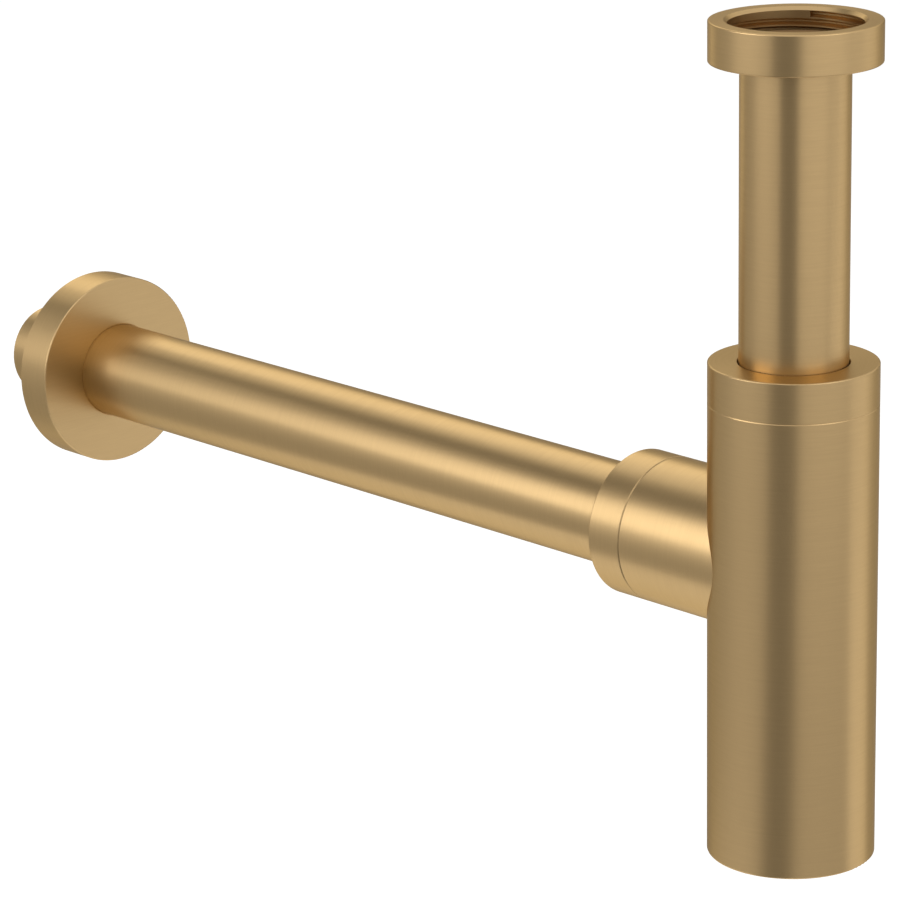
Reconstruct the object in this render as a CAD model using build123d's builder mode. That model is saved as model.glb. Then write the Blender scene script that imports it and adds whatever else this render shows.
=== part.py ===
"""Round bottle trap for a wash basin, with a union nut above and a waste pipe to the wall.

Millimetres, +Z up. The origin lies on the inlet axis, on the top face of the inlet gasket, where the
basin's waste seats. The waste pipe runs along +Y, so the wall is at +Y.
"""
import os

from build123d import *

# Pipes: both have the same section
PIPE_R = 16.0
PIPE_WALL = 1.0
FLARE_WIDTH = 2.876  # the flare's reach beyond the pipe's outside
FLARE_THICK = 1.0
FLARE_ROUND = 0.6
INLET_SPAN = 87.8  # pipe seen between the union nut and the cap
DIP_GAP = 10.0  # from the dip pipe's end to the bottle's floor
WASTE_INSERT = 28.0  # waste pipe inside the branch, from the collar's face
WASTE_SPAN = 253.75  # pipe seen between the collar and the wall flange
WALL_STUB = 26.4  # pipe behind the wall flange
SPIGOT_INSET = 6.4  # full-size pipe left behind the flange, before the turned spigot
SPIGOT_STEP = 0.2

# Union nut: its G 1 1/4 thread is a plain wall at the minor radius, which lets the flare pass
GASKET_ROOM = 0.6  # radial room for the gasket and the flare to pass the thread
UNION_SKIN = 5.524
UNION_HEIGHT = 12.0
UNION_FLOOR = 2.4
MOUTH_CHAMFER = 1.0
UNDERCUT = 1.6  # step from the thread out to the plain wall round the gasket
GASKET_THICK = 2.0

# Bottle
BOTTLE_HEIGHT = 151.0  # from the cap's top face to the base
BOTTLE_WALL = 1.5
SHOULDER_THICK = 2.5
BASE_THICK = 8.0
OUTLET_DROP = 62.0  # from the cap's top face to the branch's axis
BRANCH_REACH = 62.15  # from the bottle's axis to the collar's face
BRANCH_WALL = 1.5

# Compression joints: a nut draws a tapered seal into the seat of a threaded neck
CAP_SEAL_WIDTH = 4.2
CAP_NECK_WALL = 1.8
CAP_SKIN = 2.1
CAP_HEIGHT = 12.0
COLLAR_SEAL_WIDTH = 2.6
COLLAR_NECK_WALL = 1.4
COLLAR_SKIN = 1.6
COLLAR_HEIGHT = 12.5
ROOF_THICK = 2.5
SLIP_RING_THICK = 1.2
RIM_DROP = 0.5  # from the slip ring to the neck's rim, room to tighten
SEAT_DEPTH = 4.4
SEAL_TAIL = 0.7  # seat left free below the seal's thin end
THREAD_ROOM = 0.9  # radial room between a neck and its nut, filled by the thread
PARTING_GAP = 0.08

# Cleaning plug in the base
PLUG_R = 13.0
PLUG_LIP = 4.0
PLUG_HEAD = 2.3
PLUG_GASKET_THICK = 1.2
SLOT_LENGTH = 22.0
SLOT_WIDTH = 3.0
SLOT_DEPTH = 1.3

# Wall flange
FLANGE_R = 32.5
FLANGE_DEPTH = 13.3
FLANGE_RIM = 2.0
O_RING_THICK = 2.6
FACE_LIP = 2.4  # plate in front of the ring's groove
BACK_LIP = 1.0

# Fits and edges
BORE_CLEARANCE = 0.3  # round a pipe, in every nut, slip ring and neck
FLANGE_CLEARANCE = 0.15  # round the pipe, in the wall flange
SEAL_CLEARANCE = 0.15  # round a pipe, in every rubber ring
SEAT_CLEARANCE = 0.1
GROOVE_CLEARANCE = 0.2
EDGE_ROUND = 0.4
FLANGE_ROUND = 0.4
FOOT_ROUND = 0.6
PARTING_CHAMFER = 0.2  # on the bottle's side of each parting line
BORE_CHAMFER = 0.2

# Radii that follow from the pipe outwards
pipe_bore_r = PIPE_R - PIPE_WALL
throat_r = PIPE_R + BORE_CLEARANCE
seal_r = PIPE_R + SEAL_CLEARANCE
cap_mouth_r = PIPE_R + CAP_SEAL_WIDTH
cap_neck_r = cap_mouth_r + CAP_NECK_WALL
cap_thread_r = cap_neck_r + THREAD_ROOM
bottle_r = cap_thread_r + CAP_SKIN
collar_mouth_r = PIPE_R + COLLAR_SEAL_WIDTH
collar_neck_r = collar_mouth_r + COLLAR_NECK_WALL
collar_thread_r = collar_neck_r + THREAD_ROOM
branch_r = collar_thread_r + COLLAR_SKIN
flare_r = PIPE_R + FLARE_WIDTH
thread_minor_r = flare_r + GASKET_ROOM
undercut_r = thread_minor_r + UNDERCUT
union_r = thread_minor_r + UNION_SKIN
plug_head_r = PLUG_R + PLUG_LIP
plug_recess_r = plug_head_r + BORE_CLEARANCE
plug_bore_r = PLUG_R + THREAD_ROOM
o_ring_centre_r = seal_r + O_RING_THICK / 2
groove_r = seal_r + O_RING_THICK + GROOVE_CLEARANCE
flange_bore_r = PIPE_R + FLANGE_CLEARANCE

# Depths inside a compression joint, from its nut's face
ring_depth = ROOF_THICK + SLIP_RING_THICK
rim_depth = ring_depth + RIM_DROP
throat_depth = rim_depth + SEAT_DEPTH

# Heights and places along the pipes
union_floor_z = -GASKET_THICK - FLARE_THICK
union_z = union_floor_z - UNION_FLOOR
cap_z = union_z - INLET_SPAN
outlet_z = cap_z - OUTLET_DROP
base_z = cap_z - BOTTLE_HEIGHT
dip_z = base_z + BASE_THICK + DIP_GAP
waste_start = BRANCH_REACH - WASTE_INSERT
flange_face_y = BRANCH_REACH + WASTE_SPAN
waste_end = flange_face_y + FLANGE_DEPTH + WALL_STUB
groove_width = O_RING_THICK + 2 * GROOVE_CLEARANCE
flange_plate = FACE_LIP + groove_width + BACK_LIP

# Working planes: local X is a radius and local Y runs along the axis of the turned piece
inlet_plane = Plane.XZ
cap_plane = Plane(origin=(0, 0, cap_z), x_dir=(1, 0, 0), z_dir=(0, 1, 0))  # Y down into the bottle
collar_plane = Plane(origin=(0, BRANCH_REACH, outlet_z), x_dir=(1, 0, 0), z_dir=(0, 0, -1))  # Y inwards
outlet_plane = Plane(origin=(0, 0, outlet_z), x_dir=(1, 0, 0), z_dir=(0, 0, 1))  # Y to the wall
flange_plane = Plane(origin=(0, flange_face_y, outlet_z), x_dir=(1, 0, 0), z_dir=(0, 0, 1))
base_plane = Plane(origin=(0, 0, base_z), x_dir=(1, 0, 0), z_dir=(0, -1, 0))  # Y up from the base


def turn(plane, outline, mode=Mode.ADD):
    """Revolve an outline of (radius, distance) points about the plane's own Y axis."""
    with BuildSketch(plane) as profile:
        with BuildLine():
            Polyline(*outline, close=True)
        make_face()
    revolve(profile.sketch, axis=Axis(plane.origin, plane.y_dir), mode=mode)


def rims(piece, plane, radius):
    """The piece's circular edges of one radius, in order along the plane's Y axis."""
    circles = piece.edges().filter_by(GeomType.CIRCLE)
    return circles.filter_by(lambda edge: abs(edge.radius - radius) < 1e-4).sort_by(
        Axis(plane.origin, plane.y_dir)
    )


def keep(piece, name):
    """Label a finished piece and write it."""
    piece.part.label = name
    export_step(piece.part, f"parts/{name}.step")


def compression_nut(plane, height, thread_r, outer_r):
    """A plain round nut whose roof presses on the slip ring."""
    with BuildPart() as nut:
        turn(
            plane,
            [
                (throat_r, 0),
                (outer_r, 0),
                (outer_r, height),
                (thread_r, height),
                (thread_r, ROOF_THICK),
                (throat_r, ROOF_THICK),
            ],
        )
        fillet(rims(nut, plane, outer_r)[0], EDGE_ROUND)
        chamfer(rims(nut, plane, throat_r)[0], BORE_CHAMFER)
    return nut


def slip_ring(plane, neck_r):
    """A flat plastic ring under the nut's roof."""
    with BuildPart() as ring:
        turn(
            plane,
            [
                (throat_r, ROOF_THICK),
                (neck_r, ROOF_THICK),
                (neck_r, ring_depth),
                (throat_r, ring_depth),
            ],
        )
    return ring


def tapered_seal(plane, mouth_r):
    """A rubber ring whose outside follows the seat's cone."""
    slope = (mouth_r - throat_r) / SEAT_DEPTH
    tail_r = throat_r + slope * SEAL_TAIL - SEAT_CLEARANCE
    with BuildPart() as seal:
        turn(
            plane,
            [
                (seal_r, ring_depth),
                (mouth_r - SEAT_CLEARANCE, ring_depth),
                (mouth_r - SEAT_CLEARANCE, rim_depth),
                (tail_r, throat_depth - SEAL_TAIL),
                (seal_r, throat_depth - SEAL_TAIL),
            ],
        )
    return seal


os.makedirs("parts", exist_ok=True)

# Union nut
with BuildPart() as inlet_nut:
    turn(
        inlet_plane,
        [
            (throat_r, union_z),
            (union_r, union_z),
            (union_r, union_z + UNION_HEIGHT),
            (thread_minor_r, union_z + UNION_HEIGHT),
            (thread_minor_r, 0),
            (undercut_r, 0),
            (undercut_r, union_floor_z),
            (throat_r, union_floor_z),
        ],
    )
    chamfer(rims(inlet_nut, inlet_plane, thread_minor_r)[-1], MOUTH_CHAMFER)
    fillet(rims(inlet_nut, inlet_plane, union_r), EDGE_ROUND)
keep(inlet_nut, "inlet_nut")

# Flat gasket on the flare, inside the union nut
with BuildPart() as inlet_gasket:
    with BuildSketch(Plane.XY.offset(-GASKET_THICK)):
        Circle(flare_r)
        Circle(pipe_bore_r, mode=Mode.SUBTRACT)
    extrude(amount=GASKET_THICK)
keep(inlet_gasket, "inlet_gasket")

# Inlet pipe: flared above to hang in the union nut, open below as the dip of the trap
with BuildPart() as inlet_pipe:
    turn(
        inlet_plane,
        [
            (pipe_bore_r, -GASKET_THICK),
            (flare_r, -GASKET_THICK),
            (flare_r, union_floor_z),
            (PIPE_R, union_floor_z),
            (PIPE_R, dip_z),
            (pipe_bore_r, dip_z),
        ],
    )
    fillet(rims(inlet_pipe, inlet_plane, pipe_bore_r)[-1], FLARE_ROUND)
keep(inlet_pipe, "inlet_pipe")

# Bottle: body, necks, branch and base in one brazed piece
cap_shoulder = CAP_HEIGHT + PARTING_GAP
collar_shoulder = COLLAR_HEIGHT + PARTING_GAP
plug_seat = PLUG_HEAD + PLUG_GASKET_THICK
with BuildPart() as bottle:
    turn(
        cap_plane,
        [
            (0, rim_depth),
            (cap_neck_r, rim_depth),
            (cap_neck_r, cap_shoulder),
            (bottle_r, cap_shoulder),
            (bottle_r, BOTTLE_HEIGHT),
            (0, BOTTLE_HEIGHT),
        ],
    )
    chamfer(rims(bottle, cap_plane, bottle_r)[0], PARTING_CHAMFER)
    fillet(rims(bottle, cap_plane, bottle_r)[-1], FOOT_ROUND)
    turn(
        collar_plane,
        [
            (0, rim_depth),
            (collar_neck_r, rim_depth),
            (collar_neck_r, collar_shoulder),
            (branch_r - PARTING_CHAMFER, collar_shoulder),
            (branch_r, collar_shoulder + PARTING_CHAMFER),
            (branch_r, BRANCH_REACH),
            (0, BRANCH_REACH),
        ],
    )
    turn(
        cap_plane,
        [
            (0, rim_depth),
            (cap_mouth_r, rim_depth),
            (throat_r, throat_depth),
            (throat_r, cap_shoulder + SHOULDER_THICK),
            (bottle_r - BOTTLE_WALL, cap_shoulder + SHOULDER_THICK),
            (bottle_r - BOTTLE_WALL, BOTTLE_HEIGHT - BASE_THICK),
            (0, BOTTLE_HEIGHT - BASE_THICK),
        ],
        mode=Mode.SUBTRACT,
    )
    turn(
        collar_plane,
        [
            (0, rim_depth),
            (collar_mouth_r, rim_depth),
            (throat_r, throat_depth),
            (throat_r, collar_shoulder + SHOULDER_THICK),
            (branch_r - BRANCH_WALL, collar_shoulder + SHOULDER_THICK),
            (branch_r - BRANCH_WALL, BRANCH_REACH),
            (0, BRANCH_REACH),
        ],
        mode=Mode.SUBTRACT,
    )
    turn(
        base_plane,
        [
            (0, 0),
            (plug_recess_r, 0),
            (plug_recess_r, plug_seat),
            (plug_bore_r, plug_seat),
            (plug_bore_r, BASE_THICK),
            (0, BASE_THICK),
        ],
        mode=Mode.SUBTRACT,
    )
keep(bottle, "bottle")

# Cap at the top of the bottle, with its slip ring and seal
cap = compression_nut(cap_plane, CAP_HEIGHT, cap_thread_r, bottle_r)
keep(cap, "cap")
cap_slip_ring = slip_ring(cap_plane, cap_neck_r)
keep(cap_slip_ring, "cap_slip_ring")
cap_seal = tapered_seal(cap_plane, cap_mouth_r)
keep(cap_seal, "cap_seal")

# Collar at the end of the branch, with its slip ring and seal
collar = compression_nut(collar_plane, COLLAR_HEIGHT, collar_thread_r, branch_r)
keep(collar, "collar")
collar_slip_ring = slip_ring(collar_plane, collar_neck_r)
keep(collar_slip_ring, "collar_slip_ring")
collar_seal = tapered_seal(collar_plane, collar_mouth_r)
keep(collar_seal, "collar_seal")

# Cleaning plug, flush with the base, with a coin slot
with BuildPart() as cleanout_plug:
    turn(
        base_plane,
        [
            (0, 0),
            (plug_head_r, 0),
            (plug_head_r, PLUG_HEAD),
            (PLUG_R, PLUG_HEAD),
            (PLUG_R, BASE_THICK),
            (0, BASE_THICK),
        ],
    )
    fillet(rims(cleanout_plug, base_plane, plug_head_r)[0], EDGE_ROUND)
    with BuildSketch(Plane.XY.offset(base_z)):
        SlotOverall(SLOT_LENGTH, SLOT_WIDTH)
    extrude(amount=SLOT_DEPTH, mode=Mode.SUBTRACT)
keep(cleanout_plug, "cleanout_plug")

# Flat gasket under the plug's head
with BuildPart() as plug_gasket:
    with BuildSketch(Plane.XY.offset(base_z + PLUG_HEAD)):
        Circle(plug_head_r)
        Circle(PLUG_R + BORE_CLEARANCE, mode=Mode.SUBTRACT)
    extrude(amount=PLUG_GASKET_THICK)
keep(plug_gasket, "plug_gasket")

# Waste pipe, with its end turned down a little to enter the wall's socket
spigot_y = waste_end - WALL_STUB + SPIGOT_INSET
with BuildPart() as waste_pipe:
    turn(
        outlet_plane,
        [
            (pipe_bore_r, waste_start),
            (PIPE_R, waste_start),
            (PIPE_R, spigot_y),
            (PIPE_R - SPIGOT_STEP, spigot_y),
            (PIPE_R - SPIGOT_STEP, waste_end),
            (pipe_bore_r, waste_end),
        ],
    )
keep(waste_pipe, "waste_pipe")

# Wall flange: a cup open to the wall, grooved inside for its ring
groove_start = FACE_LIP
groove_stop = FACE_LIP + groove_width
with BuildPart() as wall_flange:
    turn(
        flange_plane,
        [
            (flange_bore_r, 0),
            (FLANGE_R, 0),
            (FLANGE_R, FLANGE_DEPTH),
            (FLANGE_R - FLANGE_RIM, FLANGE_DEPTH),
            (FLANGE_R - FLANGE_RIM, flange_plate),
            (flange_bore_r, flange_plate),
            (flange_bore_r, groove_stop),
            (groove_r, groove_stop),
            (groove_r, groove_start),
            (flange_bore_r, groove_start),
        ],
    )
    fillet(rims(wall_flange, flange_plane, FLANGE_R)[0], FLANGE_ROUND)
    chamfer(rims(wall_flange, flange_plane, flange_bore_r)[0], BORE_CHAMFER)
keep(wall_flange, "wall_flange")

# Rubber ring in the flange's groove, which grips the waste pipe
with BuildPart() as flange_o_ring:
    with BuildSketch(flange_plane):
        with Locations((o_ring_centre_r, groove_start + groove_width / 2)):
            Circle(O_RING_THICK / 2)
    revolve(axis=Axis(flange_plane.origin, flange_plane.y_dir))
keep(flange_o_ring, "flange_o_ring")
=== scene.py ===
# %% [markdown]
# # A round bottle trap in brushed brass
#
# A bottle trap hangs under a wash basin. Water drops through the straight inlet pipe, rises round it
# inside the bottle and leaves by the side branch to the wall. A plug of water always stays behind, and
# keeps the smell of the drain out of the room.
#
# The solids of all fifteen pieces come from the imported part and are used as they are. This file adds
# what they leave out: the brushed finish, the screw threads, the lip of the wall flange, and a small
# studio to look at them in. Everything is in metres with Z up. The inlet pipe stands on the Z axis, and
# the waste pipe runs along Y.

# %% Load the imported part
from math import cos, hypot, pi, radians, sin, tan

import bmesh
import bpy
from mathutils import Matrix, Vector


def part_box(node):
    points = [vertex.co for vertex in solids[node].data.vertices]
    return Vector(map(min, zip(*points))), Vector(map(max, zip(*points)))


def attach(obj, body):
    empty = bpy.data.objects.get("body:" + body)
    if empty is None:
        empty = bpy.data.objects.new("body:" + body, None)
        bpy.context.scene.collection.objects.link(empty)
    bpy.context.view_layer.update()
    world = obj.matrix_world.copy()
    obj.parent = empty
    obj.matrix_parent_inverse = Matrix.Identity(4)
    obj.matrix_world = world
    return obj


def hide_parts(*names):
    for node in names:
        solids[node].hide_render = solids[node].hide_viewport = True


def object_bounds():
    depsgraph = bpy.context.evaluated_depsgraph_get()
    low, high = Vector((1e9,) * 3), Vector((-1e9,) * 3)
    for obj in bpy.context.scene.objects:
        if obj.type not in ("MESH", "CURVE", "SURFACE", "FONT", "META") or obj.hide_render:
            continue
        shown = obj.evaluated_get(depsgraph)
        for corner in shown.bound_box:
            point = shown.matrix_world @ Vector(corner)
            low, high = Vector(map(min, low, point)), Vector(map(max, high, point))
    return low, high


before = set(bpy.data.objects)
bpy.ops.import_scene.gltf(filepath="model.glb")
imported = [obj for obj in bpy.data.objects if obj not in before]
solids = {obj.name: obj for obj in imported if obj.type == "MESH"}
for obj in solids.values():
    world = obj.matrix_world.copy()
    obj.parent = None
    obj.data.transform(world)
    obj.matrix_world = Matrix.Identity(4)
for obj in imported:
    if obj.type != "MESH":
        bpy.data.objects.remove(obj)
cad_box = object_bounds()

print("pieces of the packed part:", ", ".join(sorted(solids)))

# %% [markdown]
# ## The camera
#
# The photograph shows the trap from the left, a little above the union nut, through a long lens about a
# metre away. A long lens keeps the pipes from tapering much. The place and the angles below were found by
# laying the round edges of the part over those in the picture. The middle of the picture is the middle of
# the lens, so the same camera also frames the part from every other side.

# %% Place the camera
MM = 0.001
HEADING = radians(42.805)  # turned from the wall's direction, Y, towards X
TILT = radians(16.528)  # down from level
ROLL = radians(-1.082)
CAMERA_PLACE = Vector((-825.06, -744.11, 210.31)) * MM
SENSOR_WIDTH = 36.0  # in millimetres, as the focal length is
FOCAL_LENGTH = 158.96
NEAREST_SEEN = 0.05

scene = bpy.context.scene
camera = bpy.data.objects.new("camera", bpy.data.cameras.new("camera"))
camera.data.sensor_width = SENSOR_WIDTH
camera.data.lens = FOCAL_LENGTH
camera.data.clip_start = NEAREST_SEEN
camera.matrix_world = (
    Matrix.Translation(CAMERA_PLACE)
    @ Matrix.Rotation(-HEADING, 4, "Z")
    @ Matrix.Rotation(pi / 2 - TILT, 4, "X")
    @ Matrix.Rotation(ROLL, 4, "Z")
)
scene.collection.objects.link(camera)
scene.camera = camera
scene.view_settings.view_transform = "Standard"
print("camera at", [round(x, 3) for x in CAMERA_PLACE])

# %% [markdown]
# ## Building shaders from Python
#
# A shader is a chain of small nodes. It could be drawn in the editor, but written out it is made the same
# way each time. The first helper adds a node and feeds its inputs, from plain values or from the outputs of
# other nodes. The next two do one step of arithmetic, on numbers or on directions.

# %% Helpers for shader nodes
def wire(tree, kind, feeds=(), **options):
    """Add a node, set its options, and feed its inputs by name or by place."""
    made = tree.nodes.new(kind)
    for name, value in options.items():
        setattr(made, name, value)
    for key, value in dict(feeds).items():
        if isinstance(value, bpy.types.NodeSocket):
            tree.links.new(value, made.inputs[key])
        else:
            made.inputs[key].default_value = value
    return made


def number(tree, operation, *values):
    """One step of arithmetic on numbers."""
    return wire(tree, "ShaderNodeMath", enumerate(values), operation=operation).outputs[0]


def direction(tree, operation, *values):
    """One step of arithmetic on directions; a length or a dot product gives a number."""
    made = wire(tree, "ShaderNodeVectorMath", enumerate(values), operation=operation)
    return made.outputs["Value" if operation in ("LENGTH", "DOT_PRODUCT") else "Vector"]


def new_tree(owner):
    """The emptied node tree of a material or a world."""
    owner.use_nodes = True
    owner.node_tree.nodes.clear()
    return owner.node_tree


print("shader helpers ready")

# %% [markdown]
# ## A white tent
#
# Brushed metal has hardly any look of its own: it shows what stands round it. Photographers put such a
# piece into a white tent, hang grey and black cards in it for the darker bands, and set soft boxes outside
# for the bright ones. The tent is the world here, pure white to the camera and to reflections. To matt
# surfaces it gives only about half of that light, which leaves the soft boxes something to do.

# %% The white tent
WHITE = (1, 1, 1, 1)
TENT_LIGHT = 0.55  # how much the white walls light up matt surfaces


def seen_directly(tree):
    """1 for what the camera, a mirror or a glass sees of a surface, 0 for the light that it gives."""
    rays = wire(tree, "ShaderNodeLightPath").outputs
    mirrored = number(tree, "MAXIMUM", rays["Is Glossy Ray"], rays["Is Transmission Ray"])
    return number(tree, "MAXIMUM", rays["Is Camera Ray"], mirrored)


scene.world = bpy.data.worlds.new("white_tent")
tent = new_tree(scene.world)
tent_level = number(tent, "MULTIPLY_ADD", seen_directly(tent), 1.0 - TENT_LIGHT, TENT_LIGHT)
tent_glow = wire(tent, "ShaderNodeBackground", {"Color": WHITE, "Strength": tent_level})
wire(tent, "ShaderNodeOutputWorld", {"Surface": tent_glow.outputs[0]})
print("tent lights matt surfaces at", TENT_LIGHT)

# %% [markdown]
# ## Cards in the tent
#
# Each card is a flat sheet that stands for a dark or grey patch of the tent. The cards could be painted into
# the world as patches of colour, but as objects they can be moved one by one. Only reflections see them, so
# the picture stays white behind the trap from every side. Their places are angles as the camera sees them.

# %% Places round the trap
MIDDLE = (cad_box[0] + cad_box[1]) / 2
UP = Vector((0, 0, 1))
CARD_DISTANCE = 3.0


def bearing(turn, rise):
    """The direction from the trap to a place: 0 is towards the camera, plus is to its right."""
    ahead = Vector((sin(HEADING), cos(HEADING), 0))
    right = Vector((cos(HEADING), -sin(HEADING), 0))
    level = right * sin(radians(turn)) - ahead * cos(radians(turn))
    return level * cos(radians(rise)) + UP * sin(radians(rise))


def stand_at(turn, rise):
    """A place at the cards' distance, with its own Z pointing away from the trap."""
    away = bearing(turn, rise)
    facing = away.to_track_quat("Z", "Y").to_matrix().to_4x4()
    return Matrix.Translation(MIDDLE + away * CARD_DISTANCE) @ facing


def spread(degrees):
    """How wide something is at the cards' distance, if it spans that angle seen from the trap."""
    return 2 * CARD_DISTANCE * tan(radians(degrees / 2))


print("studio is centred on", [round(x, 3) for x in MIDDLE])

# %% Hang the cards
def mirrored_only(name, shape, level):
    """Turn a flat shape into a card of that brightness, which only reflections see."""
    mesh = bpy.data.meshes.new(name)
    shape.to_mesh(mesh)
    shape.free()
    paint = bpy.data.materials.new(name)
    tree = new_tree(paint)
    glow = wire(tree, "ShaderNodeEmission", {"Color": WHITE, "Strength": level})
    wire(tree, "ShaderNodeOutputMaterial", {"Surface": glow.outputs[0]})
    mesh.materials.append(paint)
    card = bpy.data.objects.new(name, mesh)
    card.visible_camera = False
    card.visible_diffuse = False
    card.visible_shadow = False
    scene.collection.objects.link(card)
    return card


def hang_card(name, turn, rise, wide, high, level):
    """A flat card facing the trap; its middle and its spans are in degrees."""
    stretch = Matrix.Diagonal((spread(wide), spread(high), 1, 1))
    shape = bmesh.new()
    bmesh.ops.create_grid(shape, x_segments=1, y_segments=1, size=0.5)
    bmesh.ops.transform(shape, matrix=stand_at(turn, rise) @ stretch, verts=shape.verts)
    return mirrored_only(name, shape, level)


cards = [  # turn, rise, width, height, brightness
    hang_card("card_behind_camera", -15, -2, 38, 26, 0.15),
    hang_card("card_over_left", -108, 47, 40, 20, 0.12),
    hang_card("card_left", -115, 10, 52, 44, 0.52),
    hang_card("card_behind", 168, 4, 80, 34, 0.38),
]
print("cards:", ", ".join(card.name for card in cards))

# %% [markdown]
# ## Mats on the floor
#
# The camera looks down, so the upright walls of the trap mirror the floor, and the waste pipe mirrors it with
# its lower half. Grey mats on the floor give the bands there. A mat is a part of a flat ring round the
# trap: one edge that points outwards, spun by the angle that the mat spans. Some mats overlap, so each is
# lifted by a millimetre or more.

# %% Lay the mats
FLOOR_DROP = 0.35  # below the lowest point of the trap
FLOOR_Z = cad_box[0].z - FLOOR_DROP
MAT_STEPS = 48


def lay_mat(name, turn, wide, near, far, level, lift):
    """A mat round the trap, between two distances from its middle; its span is in degrees."""
    shape = bmesh.new()
    centre = Vector((MIDDLE.x, MIDDLE.y, FLOOR_Z + lift))
    start = bearing(turn - wide / 2, 0)
    ends = [shape.verts.new(centre + start * reach) for reach in (near, far)]
    edge = shape.edges.new(ends)
    sweep = {"axis": UP, "angle": radians(wide), "steps": MAT_STEPS}
    bmesh.ops.spin(shape, geom=ends + [edge], cent=centre, **sweep)
    return mirrored_only(name, shape, level)


mats = [  # turn, width, nearest and furthest reach, brightness, lift
    lay_mat("mat_near", -89, 326, 0.60, 1.9, 0.52, 0.001),
    lay_mat("mat_far", -196, 88, 1.85, 5.0, 0.60, 0.002),
    lay_mat("mat_far_left", -114, 44, 1.85, 5.0, 0.56, 0.002),
    lay_mat("mat_left", -66, 52, 1.9, 5.0, 0.6, 0.002),
    lay_mat("mat_to_camera", -15, 38, 0.20, 5.0, 0.27, 0.003),
    lay_mat("mat_right", 77, 30, 2.3, 5.0, 0.65, 0.002),
    lay_mat("mat_under", -178, 40, 0.45, 1.0, 0.40, 0.003),
]
print("mats:", ", ".join(mat.name for mat in mats))

# %% [markdown]
# ## Soft boxes
#
# Three soft boxes shine through the tent. The one on the left makes the long highlight on the waste pipe, the
# one behind lights the flat tops, and the one on the right warms the places where two pieces meet. Area
# lamps do this without a mesh. A lamp shines along its own minus Z, so it stands as the cards do.

# %% Set up the soft boxes
def soft_box(name, turn, rise, wide, high, level):
    """A soft box outside the tent; its level is how bright its front looks beside the white walls."""
    lamp = bpy.data.lights.new(name, "AREA")
    lamp.shape = "RECTANGLE"
    lamp.size = spread(wide)
    lamp.size_y = spread(high)
    lamp.energy = level * pi * lamp.size * lamp.size_y
    box = bpy.data.objects.new(name, lamp)
    box.matrix_world = stand_at(turn, rise)
    box.visible_camera = False
    scene.collection.objects.link(box)
    return box


lamps = [  # turn, rise, width, height, brightness
    soft_box("soft_box_left", -71, 20, 42, 30, 2.25),
    soft_box("soft_box_back", -169, 32, 26, 24, 1.0),
    soft_box("soft_box_right", 42, 26, 36, 20, 1.4),
]
print("soft boxes:", ", ".join(f"{box.name} {box.data.energy:.1f} W" for box in lamps))

# %% [markdown]
# ## The floor
#
# The trap hangs in the picture, so the floor lies well below it and its shadow falls soft and faint. A
# white floor that is only lit would come out grey in the distance, so part of its white is a glow that
# only the camera and reflections see, and the rest is lit and takes the shadow. Seen from below it is
# clear, so that the underside of the bottle can be looked at.

# %% Lay the floor
FLOOR_REACH = 8.0
FLOOR_WHITE = (0.8, 0.8, 0.8, 1)
FLOOR_GLOW = 0.55

floor_shape = bmesh.new()
bmesh.ops.create_grid(floor_shape, x_segments=1, y_segments=1, size=FLOOR_REACH)
bmesh.ops.translate(floor_shape, vec=UP * FLOOR_Z, verts=floor_shape.verts)
floor = bpy.data.objects.new("floor", bpy.data.meshes.new("floor"))
floor_shape.to_mesh(floor.data)
floor_shape.free()
scene.collection.objects.link(floor)
print("floor at", round(FLOOR_Z, 3))

# %% Paint the floor
floor_paint = bpy.data.materials.new("white_floor")
tree = new_tree(floor_paint)
matt = wire(tree, "ShaderNodeBsdfDiffuse", {"Color": FLOOR_WHITE})
glow_level = number(tree, "MULTIPLY", seen_directly(tree), FLOOR_GLOW)
glow = wire(tree, "ShaderNodeEmission", {"Color": WHITE, "Strength": glow_level})
above = wire(tree, "ShaderNodeAddShader", {0: matt.outputs[0], 1: glow.outputs[0]})
clear = wire(tree, "ShaderNodeBsdfTransparent")
from_below = wire(tree, "ShaderNodeNewGeometry").outputs["Backfacing"]
both = wire(tree, "ShaderNodeMixShader", {0: from_below, 1: above.outputs[0], 2: clear.outputs[0]})
wire(tree, "ShaderNodeOutputMaterial", {"Surface": both.outputs[0]})
floor.data.materials.append(floor_paint)
print("floor glows at", FLOOR_GLOW)

# %% [markdown]
# ## Hairlines
#
# The brass is brushed with a fine abrasive belt while each piece turns, which leaves thousands of hairlines
# round it. They could be drawn as an image, but a noise stretched along the lines gives them at any scale.
# The group takes the place on the surface in two parts: along the lines, where the tone changes slowly, and
# across them, where it changes every fraction of a millimetre. Fine and broad lines are mixed, as one belt
# never leaves lines of one width.

# %% The hairline group
FINE_SHARE = 0.6
NOISE_LOW, NOISE_HIGH = 0.3, 0.7  # most of the noise lies between these

hairlines = bpy.data.node_groups.new("hairlines", "ShaderNodeTree")
for label, way, kind in (
    ("Along", "INPUT", "NodeSocketVector"),
    ("Across", "INPUT", "NodeSocketFloat"),
    ("Tone", "OUTPUT", "NodeSocketFloat"),
    ("Height", "OUTPUT", "NodeSocketFloat"),
):
    hairlines.interface.new_socket(label, in_out=way, socket_type=kind)
entry = wire(hairlines, "NodeGroupInput")


def line_noise(width, length):
    """Noise stretched into lines of about that width and length."""
    along = direction(hairlines, "MULTIPLY", entry.outputs["Along"], (1 / length,) * 3)
    across = number(hairlines, "MULTIPLY", entry.outputs["Across"], 1 / width)
    feeds = {"Vector": along, "W": across, "Scale": 1.0, "Detail": 1.0, "Roughness": 0.6}
    return wire(hairlines, "ShaderNodeTexNoise", feeds, noise_dimensions="4D").outputs[0]


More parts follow.
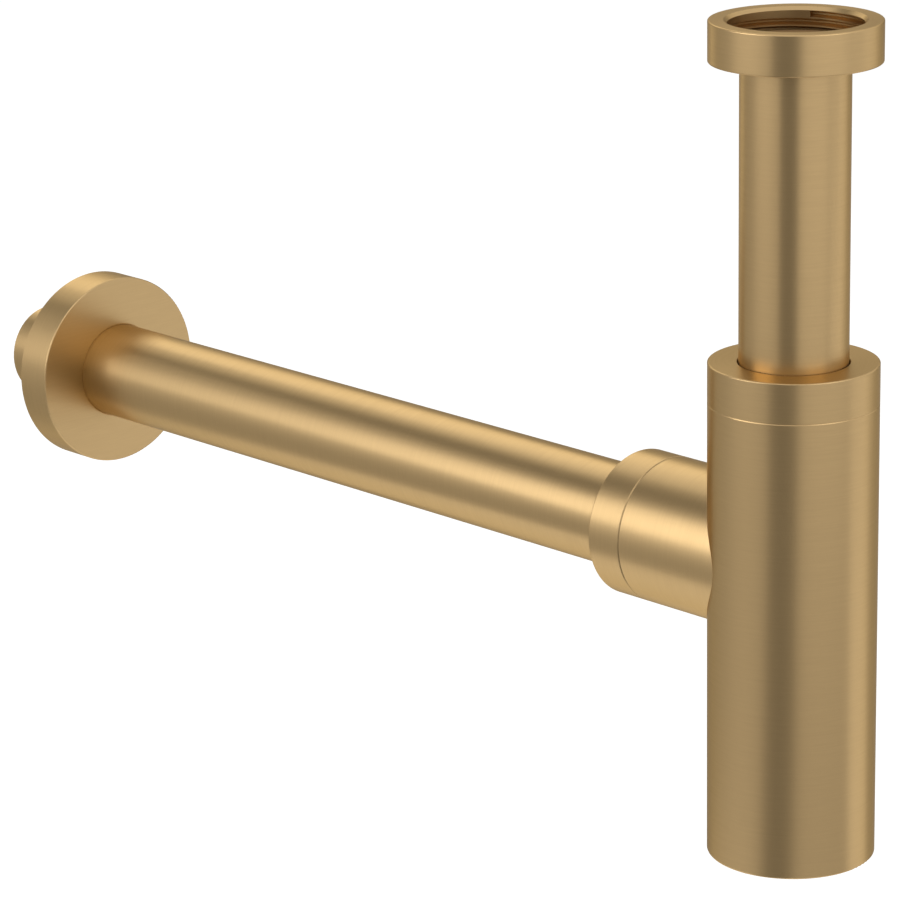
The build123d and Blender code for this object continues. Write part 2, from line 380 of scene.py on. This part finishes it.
fine = line_noise(width=0.3 * MM, length=9 * MM)
broad = line_noise(width=0.9 * MM, length=22 * MM)
broad_part = number(hairlines, "MULTIPLY", broad, 1 - FINE_SHARE)
mixed = number(hairlines, "MULTIPLY_ADD", fine, FINE_SHARE, broad_part)
limits = {"Value": mixed, "From Min": NOISE_LOW, "From Max": NOISE_HIGH}
tone = wire(hairlines, "ShaderNodeMapRange", limits)
wire(hairlines, "NodeGroupOutput", {"Tone": tone.outputs[0], "Height": fine})
print("hairline group has", len(hairlines.nodes), "nodes")

# %% [markdown]
# ## Which way the lines run
#
# On a turned piece the lines go round its axis: round the side of a pipe, and in circles on a flat end. The
# distance along the axis plus the distance from it counts the lines on both. A brushed surface mirrors
# sharply along its lines and smears across them, so the shader also needs the direction across the lines
# in the surface. That is the cross product of the surface's normal and the way round.

# %% The lay of a turned piece
OUTLET_Z = (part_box("waste_pipe")[0].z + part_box("waste_pipe")[1].z) / 2
OUTLET_CENTRE = Vector((0, 0, OUTLET_Z))
OUTLET_AXIS = Vector((0, 1, 0))
INLET_CENTRE = Vector((0, 0, 0))


def from_axis(tree, place, axis, centre):
    """How far along a main axis a place is, and the spoke to it, square to the axis."""
    out = direction(tree, "SUBTRACT", place, centre)
    height = direction(tree, "DOT_PRODUCT", out, axis)
    return height, direction(tree, "MULTIPLY", out, Vector((1, 1, 1)) - axis)


def turned_lay(tree, place, normal, axis, centre):
    """Along and across the lines, and the way that they smear, for a piece turned about an axis."""
    height, spoke = from_axis(tree, place, axis, centre)
    across = number(tree, "ADD", height, direction(tree, "LENGTH", spoke))
    way_round = direction(tree, "CROSS_PRODUCT", axis, spoke)
    return spoke, across, direction(tree, "CROSS_PRODUCT", normal, way_round)


def upright_lay(tree, place, normal):
    """Lines round the inlet pipe's axis."""
    return turned_lay(tree, place, normal, UP, INLET_CENTRE)


def outlet_lay(tree, place, normal):
    """Lines round the waste pipe's axis."""
    return turned_lay(tree, place, normal, OUTLET_AXIS, OUTLET_CENTRE)


print("waste pipe's axis at", round(OUTLET_Z, 4))

# %% [markdown]
# Two pieces have two lays each. The bottle is one brazed piece, with lines round the body and, beyond the
# body's own radius, round the branch. The wall flange is brushed round its rim, but its face was drawn
# straight over a flat belt, so there the lines are level. A mask picks the lay, and the same mask serves
# all three outputs.

# %% The lay of the bottle and of the wall flange
BOTTLE_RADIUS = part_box("cap")[1].x
BODY_MARGIN = 0.05 * MM  # keeps the facets of the body on the body's side
FACE_LEAN = 0.7  # how squarely the flange's surface must face the room to count as its face


def choose(tree, mask, first, second):
    """The second lay where the mask is 1, the first one where it is 0."""
    picked = []
    for a, b in zip(first, second):
        kind, low, high, result = ("VECTOR", 4, 5, 1) if a.type == "VECTOR" else ("FLOAT", 2, 3, 0)
        mix = wire(tree, "ShaderNodeMix", {0: mask, low: a, high: b}, data_type=kind)
        picked.append(mix.outputs[result])
    return picked


def bottle_lay(tree, place, normal):
    """Lines round the body, and round the branch outside it."""
    body = upright_lay(tree, place, normal)
    branch = outlet_lay(tree, place, normal)
    reach = direction(tree, "LENGTH", body[0])
    outside = number(tree, "GREATER_THAN", reach, BOTTLE_RADIUS + BODY_MARGIN)
    return choose(tree, outside, body, branch)


def flange_lay(tree, place, normal):
    """Level lines on the face, and lines round the rim."""
    rim = outlet_lay(tree, place, normal)
    level = direction(tree, "MULTIPLY", place, (1, 0, 0))
    height = direction(tree, "DOT_PRODUCT", place, UP)
    upward = wire(tree, "ShaderNodeCombineXYZ", {"Z": 1.0}).outputs[0]
    faced = direction(tree, "DOT_PRODUCT", normal, OUTLET_AXIS)
    face = number(tree, "LESS_THAN", faced, -FACE_LEAN)
    return choose(tree, face, rim, (level, height, upward))


print("branch lines start beyond a radius of", round(BOTTLE_RADIUS, 4))

# %% [markdown]
# The bottle meets the cap and the collar in two fine parting lines. The sharp corners there are broken with a
# file, and the narrow slope that is left catches the light as a bright thread. It is too small to model, so
# the shader leans the surface's normal there, outwards from the axis and a little towards the line.

# %% The broken edges beside the parting lines
EDGE_WIDTH = 0.34 * MM
EDGE_LEAN = 0.5  # how far the slope leans towards the line, for each step outwards
CAP_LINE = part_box("cap")[0].z
COLLAR_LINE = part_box("collar")[0].y
BEFORE, AFTER = -1, 1  # the side of the line that the edge is on, along the axis


def broken_edge(tree, place, normal, axis, centre, line, side):
    """The surface's normal, leaning on the narrow slope beside a parting line."""
    height, spoke = from_axis(tree, place, axis, centre)
    outwards = direction(tree, "NORMALIZE", spoke)
    slope = direction(tree, "ADD", outwards, axis * (-side * EDGE_LEAN))
    edge = number(tree, "COMPARE", height, line + side * EDGE_WIDTH / 2, EDGE_WIDTH / 2)
    return wire(tree, "ShaderNodeMix", {0: edge, 4: normal, 5: slope}, data_type="VECTOR").outputs[1]


def bottle_edges(tree, place, normal):
    """The edges of the body and of the branch."""
    normal = broken_edge(tree, place, normal, UP, INLET_CENTRE, CAP_LINE, BEFORE)
    return broken_edge(tree, place, normal, OUTLET_AXIS, OUTLET_CENTRE, COLLAR_LINE, BEFORE)


def collar_edges(tree, place, normal):
    """The edge of the collar."""
    return broken_edge(tree, place, normal, OUTLET_AXIS, OUTLET_CENTRE, COLLAR_LINE, AFTER)


print("parting lines at", round(CAP_LINE, 4), "and", round(COLLAR_LINE, 4))

# %% [markdown]
# ## Brushed brass
#
# The finish is a hard brass-coloured coat on brushed metal, so it is all reflection: fully metallic, with a
# warm base colour. The hairlines shift that colour and the roughness a little, and give a very shallow
# bump. The anisotropy is the same all over, so it is set on the shader itself, and only its direction
# comes from the lay.

# %% Make the brass
BRASS_LIGHT = (0.536, 0.370, 0.180, 1)
BRASS_DARK = (0.504, 0.348, 0.169, 1)
BRASS_EDGE = (0.76, 0.66, 0.5, 1)  # its colour at a glancing angle
SMEAR = 0.3  # how much more it blurs across the lines than along them
SHEEN_SHARP = 0.31  # roughness on the lightest lines
SHEEN_DULL = 0.35  # and on the darkest
LINE_DEPTH = 0.004 * MM
LINE_STRENGTH = 0.5


def to_world(tree, kind, value):
    """A direction or a normal of the piece, as the shader needs it."""
    ways = {"vector_type": kind, "convert_from": "OBJECT", "convert_to": "WORLD"}
    return wire(tree, "ShaderNodeVectorTransform", {0: value}, **ways).outputs[0]


def brushed_brass(name, lay, edges=None):
    """Brass with hairlines along the given lay, and with broken edges where there are any."""
    paint = bpy.data.materials.new(name)
    tree = new_tree(paint)
    spot = wire(tree, "ShaderNodeTexCoord")
    place, normal = spot.outputs["Object"], spot.outputs["Normal"]
    along, across, smear = lay(tree, place, normal)
    feeds = {"Along": along, "Across": across}
    lines = wire(tree, "ShaderNodeGroup", feeds, node_tree=hairlines)
    tone, height = lines.outputs["Tone"], lines.outputs["Height"]
    colour = wire(tree, "ShaderNodeMix", {0: tone, 6: BRASS_DARK, 7: BRASS_LIGHT}, data_type="RGBA")
    sheen = wire(tree, "ShaderNodeMapRange", {"Value": tone, "To Min": SHEEN_DULL, "To Max": SHEEN_SHARP})
    bump = {"Strength": LINE_STRENGTH, "Distance": LINE_DEPTH, "Height": height}
    if edges:
        bump["Normal"] = to_world(tree, "NORMAL", edges(tree, place, normal))
    metal = wire(tree, "ShaderNodeBsdfPrincipled", {
        "Base Color": colour.outputs[2],
        "Metallic": 1.0,
        "Roughness": sheen.outputs[0],
        "Specular Tint": BRASS_EDGE,
        "Anisotropic": SMEAR,
        "Normal": wire(tree, "ShaderNodeBump", bump).outputs[0],
        "Tangent": to_world(tree, "VECTOR", smear),
    })
    wire(tree, "ShaderNodeOutputMaterial", {"Surface": metal.outputs[0]})
    return paint


upright_brass = brushed_brass("brushed_brass_upright", upright_lay)
outlet_brass = brushed_brass("brushed_brass_outlet", outlet_lay)
collar_brass = brushed_brass("brushed_brass_collar", outlet_lay, collar_edges)
bottle_brass = brushed_brass("brushed_brass_bottle", bottle_lay, bottle_edges)
flange_brass = brushed_brass("brushed_brass_flange", flange_lay)
print("five brass finishes made")

# %% [markdown]
# ## Rubber and plastic
#
# The seals are black rubber, moulded against a finely blasted tool, so they are dull with a soft grain. The
# flat gasket in the union nut is tan gum rubber, as the floor of the mouth looks warm and not black. The two
# slip rings are pale nylon, and let the seals rest while the nuts turn. All but the gasket show only when
# the trap is taken apart. One recipe with a fine noise serves all three.

# %% Make the rubber and the nylon
SEAL_BLACK = (0.012, 0.012, 0.013, 1), (0.03, 0.03, 0.032, 1)  # the dark and the light of the grain
GUM_TAN = (0.30, 0.17, 0.07, 1), (0.40, 0.25, 0.11, 1)
NYLON_PALE = (0.62, 0.6, 0.54, 1), (0.74, 0.72, 0.66, 1)
DULL_SPREAD = 0.08
GRAIN_STRENGTH = 0.4


def moulded(name, colours, grain, dull, bumpy):
    """A matt moulded material with a fine grain of that size."""
    dark, light = colours
    paint = bpy.data.materials.new(name)
    tree = new_tree(paint)
    place = wire(tree, "ShaderNodeTexCoord").outputs["Object"]
    feeds = {"Vector": place, "Scale": 1 / grain, "Detail": 3.0}
    speck = wire(tree, "ShaderNodeTexNoise", feeds).outputs[0]
    colour = wire(tree, "ShaderNodeMix", {0: speck, 6: dark, 7: light}, data_type="RGBA")
    limits = {"Value": speck, "To Min": dull - DULL_SPREAD, "To Max": dull + DULL_SPREAD}
    rough = wire(tree, "ShaderNodeMapRange", limits)
    bump = {"Strength": GRAIN_STRENGTH, "Distance": bumpy, "Height": speck}
    body = wire(tree, "ShaderNodeBsdfPrincipled", {
        "Base Color": colour.outputs[2],
        "Roughness": rough.outputs[0],
        "Normal": wire(tree, "ShaderNodeBump", bump).outputs[0],
    })
    wire(tree, "ShaderNodeOutputMaterial", {"Surface": body.outputs[0]})
    return paint


seal_rubber = moulded("seal_rubber", SEAL_BLACK, grain=0.3 * MM, dull=0.62, bumpy=0.03 * MM)
gum_rubber = moulded("gum_rubber", GUM_TAN, grain=0.3 * MM, dull=0.55, bumpy=0.03 * MM)
slip_nylon = moulded("slip_nylon", NYLON_PALE, grain=0.8 * MM, dull=0.42, bumpy=0.01 * MM)
print("rubber and nylon made")

# %% [markdown]
# ## Dressing the solids
#
# Every piece is made of one stuff, so each solid gets one finish. The finishes read the place on the piece
# itself, and the pieces all sit at the origin, so the hairlines of neighbours share one set of axes and
# move with their piece. The list goes by finish, which shows at a glance what is brushed which way.

# %% Dress the solids
def dress(piece, paint):
    """Give a piece its finish."""
    piece.data.materials.clear()
    piece.data.materials.append(paint)


finishes = {
    upright_brass: ("inlet_nut", "inlet_pipe", "cap", "cleanout_plug"),
    outlet_brass: ("waste_pipe",),
    collar_brass: ("collar",),
    bottle_brass: ("bottle",),
    flange_brass: ("wall_flange",),
    gum_rubber: ("inlet_gasket",),
    seal_rubber: ("cap_seal", "collar_seal", "plug_gasket", "flange_o_ring"),
    slip_nylon: ("cap_slip_ring", "collar_slip_ring"),
}
for paint, names in finishes.items():
    for name in names:
        dress(solids[name], paint)
print(sum(len(names) for names in finishes.values()), "solids dressed")

# %% [markdown]
# ## The union nut and its thread
#
# The mouth of the union nut faces up, so its thread shows. The real nut is turned from bar and then tapped: a
# cutter with the shape of the groove goes round inside it and climbs by one pitch each turn. The same is
# done here. An outline is spun into the nut, a second outline is spun with a rise into a long spring-shaped
# cutter, and a boolean takes the cutter out of the nut. The groove starts square just below the chamfer of
# the mouth, and it runs out in the wider recess at the bottom, as a tapped one does.

# %% Helpers for turned shapes
TURN_STEPS = 160
MERGE_WITHIN = 0.001 * MM
ORIGIN = (0, 0, 0)


def outline_edges(shape, points):
    """A closed outline in the XZ plane, from its radii and heights in millimetres."""
    corners = [shape.verts.new((radius * MM, 0, height * MM)) for radius, height in points]
    sides = [shape.edges.new((a, b)) for a, b in zip(corners, corners[1:] + corners[:1])]
    return corners + sides


def turned(points):
    """Spin an outline full circle about Z into a closed ring."""
    shape = bmesh.new()
    sweep = {"axis": UP, "angle": 2 * pi, "steps": TURN_STEPS, "use_merge": True}
    bmesh.ops.spin(shape, geom=outline_edges(shape, points), cent=ORIGIN, **sweep)
    bmesh.ops.remove_doubles(shape, verts=shape.verts, dist=MERGE_WITHIN)
    bmesh.ops.recalc_face_normals(shape, faces=shape.faces)
    return shape


def climbing(points, pitch, turns, start_angle):
    """Sweep an outline round Z into a right-hand screw, with both ends closed."""
    shape = bmesh.new()
    steps = round(turns * TURN_STEPS)
    rise = UP * (turns * pitch * MM / steps)
    sweep = {"axis": UP, "angle": turns * 2 * pi, "steps": steps, "dvec": rise}
    bmesh.ops.spin(shape, geom=outline_edges(shape, points), cent=ORIGIN, **sweep)
    ends = [edge for edge in shape.edges if edge.is_boundary]
    bmesh.ops.holes_fill(shape, edges=ends, sides=len(points))
    bmesh.ops.recalc_face_normals(shape, faces=shape.faces)
    turn = Matrix.Rotation(start_angle, 3, "Z")
    bmesh.ops.rotate(shape, cent=ORIGIN, matrix=turn, verts=shape.verts)
    return shape


print("turned shapes have", TURN_STEPS, "steps a turn")

# %% From a shape to a piece
SHARP = radians(30)  # a fold steeper than this stays a crisp edge


def as_piece(name, shape, paint):
    """Turn a finished shape into an object with that finish, smooth except at its real edges."""
    mesh = bpy.data.meshes.new(name)
    shape.to_mesh(mesh)
    shape.free()
    mesh.shade_smooth()
    mesh.set_sharp_from_angle(angle=SHARP)
    piece = bpy.data.objects.new(name, mesh)
    scene.collection.objects.link(piece)
    dress(piece, paint)
    return piece


print("edges stay sharp from", round(SHARP, 3), "radians")

# %% Turn the union nut
NUT_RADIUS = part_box("inlet_nut")[1].x / MM
NUT_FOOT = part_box("inlet_nut")[0].z / MM
NUT_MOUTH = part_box("inlet_nut")[1].z / MM
NUT_BORE = 16.3
NUT_FLOOR = -3.0
CREST = 19.476  # radius of the thread's crests, by the pipe thread standard
RECESS = 21.076  # where the tap runs out below the thread
MOUTH_CHAMFER = 1.0
RIM = 0.4  # rounding of the two outer rims
HELD = RIM + 0.1  # where a second loop holds the shading flat beside each rim

nut_shape = turned([
    (NUT_BORE, NUT_FOOT), (NUT_RADIUS - HELD, NUT_FOOT),
    (NUT_RADIUS, NUT_FOOT), (NUT_RADIUS, NUT_FOOT + HELD),
    (NUT_RADIUS, NUT_MOUTH - HELD), (NUT_RADIUS, NUT_MOUTH),
    (NUT_RADIUS - HELD, NUT_MOUTH), (CREST + MOUTH_CHAMFER, NUT_MOUTH),
    (CREST, NUT_MOUTH - MOUTH_CHAMFER), (CREST, 0),
    (RECESS, 0), (RECESS, NUT_FLOOR), (NUT_BORE, NUT_FLOOR),
])
print("union nut turned with", len(nut_shape.faces), "faces")

# %% Round its outer rims
NEAR = 0.01  # closer than this counts as on the rim


def on_outer_rim(edge):
    """True for the edges that run round the two outer rims of the nut."""
    for end in edge.verts:
        outside = hypot(end.co.x, end.co.y) / MM > NUT_RADIUS - NEAR
        level = not NUT_FOOT + NEAR < end.co.z / MM < NUT_MOUTH - NEAR
        if not (outside and level):
            return False
    return True


rims = [edge for edge in nut_shape.edges if on_outer_rim(edge)]
rounding = {"affect": "EDGES", "offset_type": "OFFSET", "segments": 3, "profile": 0.5, "material": -1}
bmesh.ops.bevel(nut_shape, geom=rims, offset=RIM * MM, **rounding)
union_nut = as_piece("union_nut_threaded", nut_shape, upright_brass)
print("union nut rounded, now with", len(union_nut.data.polygons), "faces")

# %% Make the tap
PITCH = 2.309
ROOT = 20.955  # radius of the bottom of the groove
FLANK = radians(27.5)
ROOT_FLAT = PITCH / 12  # half the flat at the bottom of the groove
TAP_INSIDE = 19.3  # the cutter reaches a little inside the crests
TAP_START = -1.4  # height of its lower end, in the recess
GROOVE_END = radians(30)  # where the upper end of the groove lies, counted from X towards Y

tap_half = ROOT_FLAT + (ROOT - TAP_INSIDE) * tan(FLANK)
tap_outline = [
    (TAP_INSIDE, TAP_START - tap_half), (ROOT, TAP_START - ROOT_FLAT),
    (ROOT, TAP_START + ROOT_FLAT), (TAP_INSIDE, TAP_START + tap_half),
]
tap_turns = (NUT_MOUTH - MOUTH_CHAMFER - tap_half - TAP_START) / PITCH
start_angle = GROOVE_END - tap_turns * 2 * pi
tap = as_piece("tap", climbing(tap_outline, PITCH, tap_turns, start_angle), upright_brass)
print("tap makes", round(tap_turns, 2), "turns")

# %% Tap the nut
tapping = union_nut.modifiers.new("tapping", "BOOLEAN")
tapping.operation = "DIFFERENCE"
tapping.solver = "EXACT"
tapping.object = tap
evaluated_nut = union_nut.evaluated_get(bpy.context.evaluated_depsgraph_get())
tapped = bpy.data.meshes.new_from_object(evaluated_nut)
union_nut.modifiers.clear()
union_nut.data = tapped
tapped.set_sharp_from_angle(angle=SHARP)
bpy.data.objects.remove(tap)
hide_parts("inlet_nut")
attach(union_nut, "union_nut")
print("union nut tapped, now with", len(tapped.polygons), "faces")

# %% [markdown]
# ## The outside threads
#
# The cap, the collar and the cleaning plug are screwed on and in by hand, with a finer thread. Those threads
# only show once a nut is loosened, so a ridge laid round each neck is enough: a low trapezium, swept up
# the same way and sunk slightly into the neck. The ends are cut square, which real makers do too, because
# such a thread starts without crossing.

# %% Cut the outside threads
FINE_PITCH = 1.5
RIDGE_HEIGHT = 0.7
RIDGE_FOOT = 0.6  # half the width of the ridge at its foot
RIDGE_CREST = 0.18  # half the width at its crest
SUNK = 0.05


def outside_thread(name, body, neck, place, paint):
    """A ridge round a neck, laid along the neck's own axis."""
    radius, low, high = neck
    start = low + RIDGE_FOOT
    turns = (high - low - 2 * RIDGE_FOOT) / FINE_PITCH
    ridge = [
        (radius - SUNK, start - RIDGE_FOOT), (radius + RIDGE_HEIGHT, start - RIDGE_CREST),
        (radius + RIDGE_HEIGHT, start + RIDGE_CREST), (radius - SUNK, start + RIDGE_FOOT),
    ]
    shape = climbing(ridge, FINE_PITCH, turns, 0)
    bmesh.ops.transform(shape, matrix=place, verts=shape.verts)
    piece = as_piece(name, shape, paint)
    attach(piece, body)
    return piece


BOTTLE_NECK = 22.0, -104.8, -97.6  # its radius, and where its thread starts and ends along its axis
BRANCH_NECK = 20.0, 50.2, 57.7
PLUG_SHANK = 13.0, -240.6, -236.5

upright = Matrix.Identity(4)
along_outlet = Matrix.Translation(OUTLET_CENTRE) @ Matrix.Rotation(-pi / 2, 4, "X")
outside_threads = [
    outside_thread("bottle_neck_thread", "bottle", BOTTLE_NECK, upright, upright_brass),
    outside_thread("branch_neck_thread", "bottle", BRANCH_NECK, along_outlet, outlet_brass),
    outside_thread("plug_thread", "plug", PLUG_SHANK, upright, upright_brass),
]
print("outside threads:", ", ".join(piece.name for piece in outside_threads))

# %% [markdown]
# ## The lip of the wall flange
#
# The front edge of the flange's bore is rolled in until it touches the waste pipe, so no dark gap shows there.
# The solid keeps a small clearance instead, because the flange has to slide. A thin ring that rides on the
# flange closes the gap at the front. A torus could be squeezed into it, but an outline spun round is exact
# where it meets the pipe.

# %% Turn the lip
PIPE_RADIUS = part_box("waste_pipe")[1].x / MM
FLANGE_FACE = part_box("wall_flange")[0].y / MM
LIP_INSIDE = PIPE_RADIUS + 0.02  # all but touching the pipe
LIP_OUTSIDE = PIPE_RADIUS + 0.4  # sunk in the flange
LIP_START, LIP_EDGE, LIP_END = 0.03, 0.1, 0.5  # behind the flange's face

lip_shape = turned([
    (LIP_OUTSIDE, FLANGE_FACE + LIP_START), (LIP_INSIDE, FLANGE_FACE + LIP_EDGE),
    (LIP_INSIDE, FLANGE_FACE + LIP_END), (LIP_OUTSIDE, FLANGE_FACE + LIP_END),
])
bmesh.ops.transform(lip_shape, matrix=along_outlet, verts=lip_shape.verts)
flange_lip = as_piece("flange_lip", lip_shape, flange_brass)
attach(flange_lip, "flange")
print("flange lip turned with", len(flange_lip.data.polygons), "faces")
